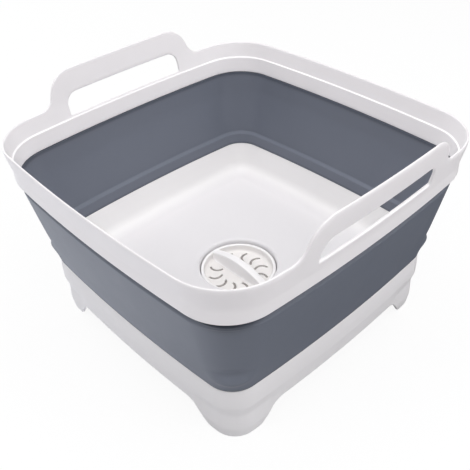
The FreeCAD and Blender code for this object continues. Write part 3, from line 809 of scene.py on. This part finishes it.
def grip_bar():
    """Arched fin across the cup: a rounded section carried along X, its top on an arc, its foot flared."""
    reach, low, crown, crown_rise, half_wide, edge = 34.4, 31.6, 46.5, 8.3, 3.5, 0.9
    flare, flare_rise = np.array([2.1, 1.0, 0.4, 0.1, 0.0, 0.0]), np.array([0.0, 0.5, 1.0, 1.7, 2.6, 4.0])
    x = np.linspace(-reach, reach, 61)[:, None]
    arch_r = (reach ** 2 + crown_rise ** 2) / (2 * crown_rise)
    top = crown - arch_r + np.sqrt(arch_r ** 2 - x ** 2)
    turn = np.linspace(0, math.pi / 2, 7)
    side = np.concatenate([half_wide + flare, half_wide - edge + edge * np.cos(turn)])
    z = np.concatenate([np.minimum(low + flare_rise, top - edge - 0.2), top - edge + edge * np.sin(turn)], 1)
    right = np.stack([np.tile(x, (1, z.shape[1])), np.tile(side, (len(x), 1)), z], 2)
    grid = np.concatenate([right, right[:, ::-1] * [1, -1, 1]], 1)
    rows, columns = grid.shape[:2]
    cap = end_cap(columns)
    faces = np.concatenate([quads(rows, columns, wrap_rows=False)[..., ::-1].reshape(-1, 4), cap[:, ::-1],
                            cap + (rows - 1) * columns])
    # Painted light: the grip bar gets the lighter white
    return piece("strainer_grip", grid, faces, PAINTED_LIGHT_WHITE, "strainer", None)


def plug_seal():
    """Soft stopper disc of revolution with a groove under it, over the well's hole."""
    disc = rounded([(SEAL_BORE, SEAL_LOW, 0.3), (SEAL_GROOVE_R - 1, SEAL_LOW, 0.2),
                    (SEAL_GROOVE_R, SEAL_LOW + 1, 0.3), (SEAL_GROOVE_R + 1, SEAL_LOW, 0.2),
                    (SEAL_R, SEAL_LOW, 1.2), (SEAL_R, SEAL_HIGH, 1.2),
                    (SEAL_BORE, SEAL_HIGH, 0.3)], 12.0, 0.3)
    return piece("stopper_disc", turned(disc, SEAL_STEPS), quads(SEAL_STEPS, len(disc)), SEAL,
                 "plug", "plug_seal")


rim_frame()
folding_wall()
base_tray()
corner_ribs()
drain_strainer()
grip_bar()
plug_seal()


# Floor, light and camera, in metres

FLOOR_REACH, FLOOR_LEVEL = 6.0, -0.0004
FLOOR_COLOUR, FLOOR_WHITENESS = (0.86, 0.86, 0.87, 1), 0.92

# Pool of light on the floor: strength, colour, direction in which it grows, and where it begins and is full
POOL_GLOW, POOL_COLOUR = 1.27, (0.96, 0.985, 1.05)
POOL_DIRECTION, POOL_START, POOL_FULL = (-0.73, -0.68, 0), -0.12, 0.2

SKY_STRENGTH = 0.15
LAMP_AIM, LAMP_SIZE = (0, 0, 0.1), 1.0
LAMPS = (
    ("overhead", (-0.15, 0.2, 1.6), 7.6),
    ("over_the_camera", (0.6, -0.55, 1.65), 9.7),
    ("high_front", (-0.4, -1.2, 1.5), 9.9),
    ("high_right", (1.25, 0.3, 1.4), 7.6),
    ("back_right", (0.75, 1.15, 1.25), 4.0),
    ("near_right", (0.9, 0.6, 0.5), 2.6),
    ("left", (-1.5, -0.1, 0.9), 9.6),
)

# Camera fitted to the photograph: angles in degrees, lens and sensor in millimetres
CAMERA_AZIMUTH, CAMERA_ELEVATION, CAMERA_LEAN = 47.712, 38.056, -2.256
CAMERA_TARGET, CAMERA_DISTANCE = (0, 0, 0.07796), 0.62766
CAMERA_LENS, CAMERA_SENSOR, CAMERA_SHIFT = 52.27, 36.0, (-0.0044, -0.0013)


def floor_material():
    """Pale floor with a faint shadow: plain diffuse, mostly white to the camera, with a pool of light.

    The pool is seen in glossy reflections alone. It grows along the floor towards the left front.
    """
    material = bpy.data.materials.new("pale_floor")
    material.use_nodes = True
    tree = material.node_tree
    tree.nodes.remove(tree.nodes["Principled BSDF"])
    diffuse = node(tree, "ShaderNodeBsdfDiffuse", {"Color": FLOOR_COLOUR})
    path = node(tree, "ShaderNodeLightPath")
    seen = path.outputs["Is Camera Ray"]
    place = node(tree, "ShaderNodeTexCoord")
    along = node(tree, "ShaderNodeVectorMath", {0: place.outputs["Object"], 1: POOL_DIRECTION},
                 operation="DOT_PRODUCT")
    pool = node(tree, "ShaderNodeMapRange", {
        "Value": along.outputs["Value"], "From Min": POOL_START, "From Max": POOL_FULL,
        "To Max": POOL_GLOW}, interpolation_type="SMOOTHSTEP")
    glow = node(tree, "ShaderNodeMix", {"Factor": seen, "A": pool.outputs["Result"], "B": 1.0})
    tint = colour_mix(tree, seen, POOL_COLOUR, (1, 1, 1))
    white = node(tree, "ShaderNodeEmission", {"Color": tint, "Strength": glow.outputs["Result"]})
    share = node(tree, "ShaderNodeMath", {0: seen, 1: FLOOR_WHITENESS, 2: path.outputs["Is Glossy Ray"]},
                 operation="MULTIPLY_ADD", use_clamp=True)
    mix = node(tree, "ShaderNodeMixShader", {0: share.outputs[0], 1: diffuse.outputs[0], 2: white.outputs[0]})
    tree.links.new(mix.outputs[0], tree.nodes["Material Output"].inputs["Surface"])
    return material


def studio_floor():
    """Square floor just under the feet."""
    mesh = bpy.data.meshes.new("studio_floor")
    corners = ((-1, -1), (1, -1), (1, 1), (-1, 1))
    places = [(x * FLOOR_REACH, y * FLOOR_REACH, FLOOR_LEVEL) for x, y in corners]
    mesh.from_pydata(places, [], [(0, 1, 2, 3)])
    mesh.materials.append(floor_material())
    floor = bpy.data.objects.new("studio_floor", mesh)
    bpy.context.collection.objects.link(floor)


def studio_world():
    """White surroundings: dim as a light, full white where the camera sees them."""
    world = bpy.data.worlds.new("studio_world")
    bpy.context.scene.world = world
    world.use_nodes = True
    tree = world.node_tree
    sky = tree.nodes["Background"]
    path = node(tree, "ShaderNodeLightPath")
    seen = node(tree, "ShaderNodeMath", {
        0: path.outputs["Is Camera Ray"], 1: path.outputs["Is Transmission Ray"]}, operation="MAXIMUM")
    strength = node(tree, "ShaderNodeMapRange", {
        "Value": seen.outputs[0], "To Min": SKY_STRENGTH, "To Max": 1.0})
    tree.links.new(strength.outputs["Result"], sky.inputs["Strength"])
    sky.inputs["Color"].default_value = (1, 1, 1, 1)


def lamp(name, place, power):
    """Round soft lamp aimed at the bowl."""
    light = bpy.data.lights.new(name, "AREA")
    light.shape, light.size, light.energy = "DISK", LAMP_SIZE, power
    obj = bpy.data.objects.new(name, light)
    obj.location = place
    obj.rotation_euler = (Vector(LAMP_AIM) - Vector(place)).to_track_quat("-Z", "Y").to_euler()
    bpy.context.collection.objects.link(obj)


def photo_camera():
    """Camera on a line from its target at the fitted angles, leaning about that line."""
    data = bpy.data.cameras.new("photo_camera")
    data.lens, data.sensor_width = CAMERA_LENS, CAMERA_SENSOR
    data.shift_x, data.shift_y = CAMERA_SHIFT
    data.clip_start = 0.01
    camera = bpy.data.objects.new("photo_camera", data)
    azimuth, elevation, lean = (math.radians(a) for a in (CAMERA_AZIMUTH, CAMERA_ELEVATION, CAMERA_LEAN))
    back = Vector((math.sin(azimuth) * math.cos(elevation), -math.cos(azimuth) * math.cos(elevation),
                   math.sin(elevation)))
    level = Vector((math.cos(azimuth), math.sin(azimuth), 0))
    rise = back.cross(level)
    right = level * math.cos(lean) + rise * math.sin(lean)
    up = rise * math.cos(lean) - level * math.sin(lean)
    camera.location = Vector(CAMERA_TARGET) + back * CAMERA_DISTANCE
    camera.rotation_euler = Matrix((right, up, back)).transposed().to_euler()
    bpy.context.collection.objects.link(camera)
    bpy.context.scene.camera = camera


studio_floor()
studio_world()
for lamp_name, lamp_place, lamp_power in LAMPS:
    lamp(lamp_name, lamp_place, lamp_power)
photo_camera()
bpy.context.scene.view_settings.view_transform = "Standard"
